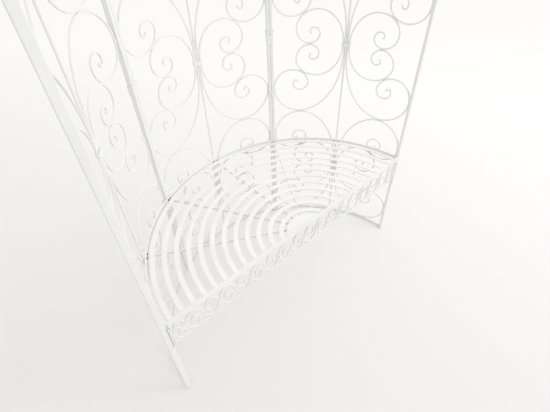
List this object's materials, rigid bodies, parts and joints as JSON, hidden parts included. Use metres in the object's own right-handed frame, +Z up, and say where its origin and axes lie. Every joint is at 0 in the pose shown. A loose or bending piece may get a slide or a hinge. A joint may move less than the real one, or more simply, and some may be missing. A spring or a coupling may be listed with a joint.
{
  "type": "garden arch",
  "caption": "Half-round garden arch of painted scrollwork with a slatted bench, a scroll apron and a ribbed half dome with a finial",
  "frame": {"origin": "on the floor, under the middle of the bounding box", "axes": "+Z up, +Y to the back wall, +X to the right-hand post as seen from the open front"},
  "size_m": [1.258, 0.6502, 2.4036],
  "materials": {
    "paint": "satin",
    "steel": "satin",
    "plastic": "matte"
  },
  "bodies": {
    "root": {"right_front_post": "paint", "right_rear_post": "paint", "back_right_post": "paint", "back_left_post": "paint", "left_rear_post": "paint", "left_front_post": "paint", "right_floor_rail": "paint", "back_floor_rail": "paint", "left_floor_rail": "paint", "right_eaves_rail": "paint", "back_eaves_rail": "paint", "left_eaves_rail": "paint", "right_middle_rod": "paint", "back_middle_rod": "paint", "left_middle_rod": "paint", "right_lyre_scrolls": "paint", "back_lyre_scrolls": "paint", "left_lyre_scrolls": "paint", "right_c_scrolls": "paint", "back_c_scrolls": "paint", "left_c_scrolls": "paint", "collars": "paint", "seat_rim": "paint", "seat_front_rail": "paint", "seat_slats": "paint", "seat_hub": "paint", "seat_supports": "paint", "apron_rail": "paint", "apron_end_bars": "paint", "apron_s_scrolls": "paint", "apron_end_curls": "paint", "right_front_rib": "paint", "right_rear_rib": "paint", "back_right_rib": "paint", "back_left_rib": "paint", "left_rear_rib": "paint", "left_front_rib": "paint", "right_hood_rail": "paint", "back_hood_rail": "paint", "left_hood_rail": "paint", "right_hood_rod": "paint", "back_hood_rod": "paint", "left_hood_rod": "paint", "right_hood_scrolls": "paint", "back_hood_scrolls": "paint", "left_hood_scrolls": "paint", "crown_lower_plate": "paint", "crown_upper_plate": "paint", "finial": "paint", "finial_stud": "steel", "post_sleeves": "paint", "post_bolts": "paint", "post_nuts": "paint", "rod_clips": "paint", "seat_screws": "steel", "rib_spigots": "steel", "foot_caps": "plastic", "crown_bolts": "steel", "crown_nuts": "steel"}
  },
  "joints": []
}
